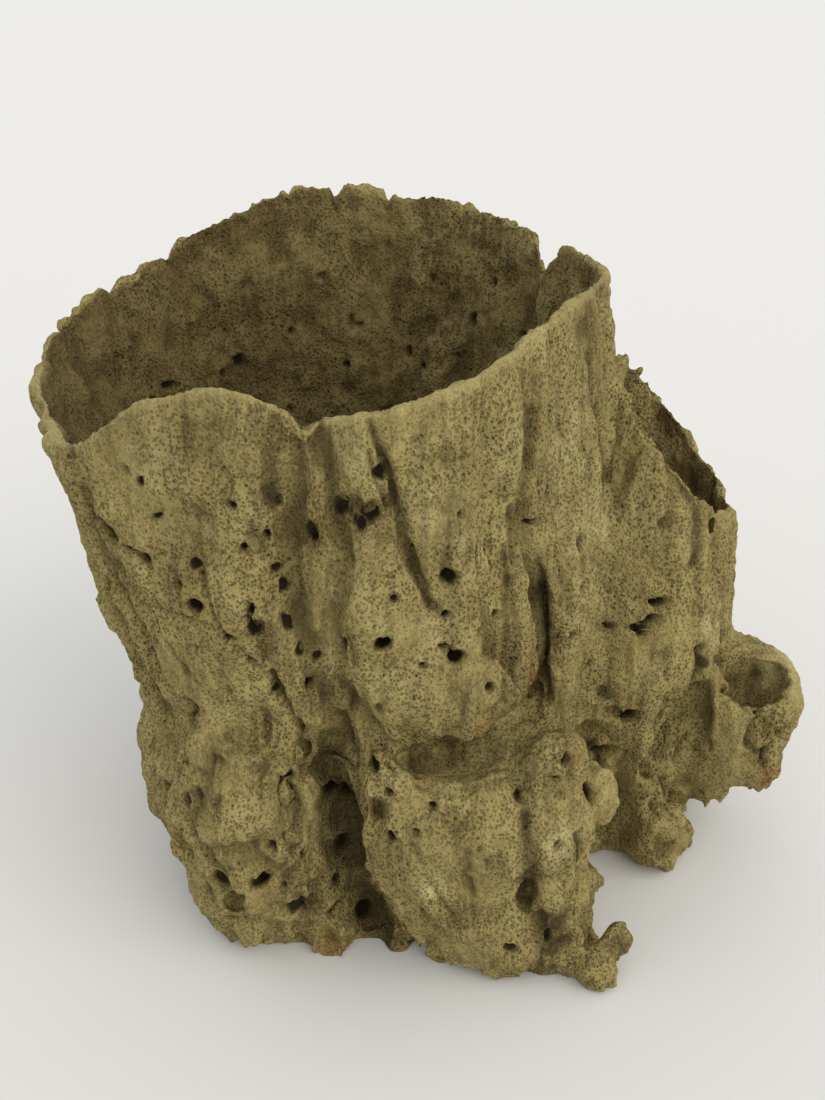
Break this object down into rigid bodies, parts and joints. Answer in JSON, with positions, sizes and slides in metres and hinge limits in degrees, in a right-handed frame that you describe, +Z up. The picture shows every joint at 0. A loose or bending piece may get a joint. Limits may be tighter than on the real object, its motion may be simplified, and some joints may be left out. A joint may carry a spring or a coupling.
{
  "type": "dried vase sponge",
  "caption": "Dried vase-shaped sea sponge: one fluted, pitted cup with a side pocket and lobes, cut off flat at its foot.",
  "frame": {"origin": "on the flat cut of the foot, under the middle of the whole sponge's box", "axes": "+Z up out of the mouth, -Y towards the face with the front lobe, +X towards the side pocket"},
  "size_m": [0.4064, 0.3152, 0.3361],
  "materials": {
    "sponge": "matt dry fibre, full of pores"
  },
  "bodies": {
    "root": {"sponge": "sponge"}
  },
  "joints": []
}
